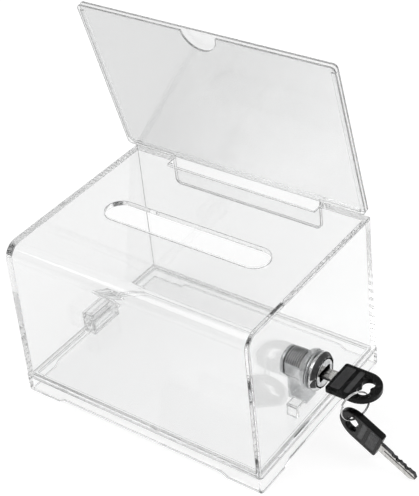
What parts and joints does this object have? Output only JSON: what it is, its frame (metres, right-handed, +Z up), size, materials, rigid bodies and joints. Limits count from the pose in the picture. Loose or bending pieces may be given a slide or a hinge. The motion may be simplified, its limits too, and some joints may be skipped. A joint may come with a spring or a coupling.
{
  "type": "donation box",
  "caption": "Clear counter-top collection box with a lift-up hood, money slot, raised sign holder, cam lock and a ring of matching keys.",
  "frame": {"origin": "centre of the whole footprint, keys included, on the surface the box stands on", "axes": "+X along the box towards the lock, +Y from the front to the sign holder, +Z up"},
  "size_m": [0.2228, 0.118, 0.2023],
  "materials": {
    "clear_acrylic": "polished",
    "clear_sign_acrylic": "polished",
    "bright_chrome": "polished",
    "zinc_steel": "satin",
    "nickel_blade": "gloss",
    "ring_wire": "gloss",
    "black_plastic": "satin"
  },
  "bodies": {
    "base": {"base_tray": "clear_acrylic", "hook_block": "clear_acrylic", "catch_lug": "clear_acrylic"},
    "hood_shell": {"hood": "clear_acrylic", "lock_barrel": "bright_chrome", "lock_washer": "zinc_steel", "lock_nut": "zinc_steel"},
    "sign": {"sign_front_sheet": "clear_sign_acrylic", "sign_back_sheet": "clear_sign_acrylic", "sign_left_rail": "clear_sign_acrylic", "sign_right_rail": "clear_sign_acrylic", "sign_bottom_rail": "clear_sign_acrylic"},
    "plug": {"lock_plug": "bright_chrome", "lock_cam": "zinc_steel", "cam_washer": "zinc_steel", "cam_screw": "zinc_steel"},
    "key_a": {"key_a_head": "black_plastic", "key_a_blade": "nickel_blade"},
    "ring": {"key_ring": "ring_wire"},
    "key_b": {"key_b_head": "black_plastic", "key_b_blade": "nickel_blade"}
  },
  "joints": [
    {"name": "hood_tilt", "type": "hinge", "parent": "base", "child": "hood_shell", "pos_m": [-0.11042, 0, 0.0113], "axis": [0, -1, 0], "range_deg": [0, 70]},
    {"name": "sign_lift", "type": "slide", "parent": "hood_shell", "child": "sign", "axis": [0, 0, 1], "range_m": [0, 0.02]},
    {"name": "cam_turn", "type": "hinge", "parent": "hood_shell", "child": "plug", "pos_m": [0.05058, 0, 0.038], "axis": [1, 0, 0], "range_deg": [-18, 72]},
    {"name": "key_a_slide", "type": "slide", "parent": "plug", "child": "key_a", "axis": [1, 0, 0], "range_m": [0, 0.027]},
    {"name": "ring_swing", "type": "hinge", "parent": "key_a", "child": "ring", "pos_m": [0.07438, -0.00875, 0.038], "axis": [0.45, 0.893, 0], "range_deg": [-24, 0]},
    {"name": "key_b_swing", "type": "hinge", "parent": "ring", "child": "key_b", "pos_m": [0.07438, -0.00875, 0.0242], "axis": [-0.179, -0.973, -0.146], "range_deg": [0, 60]}
  ]
}
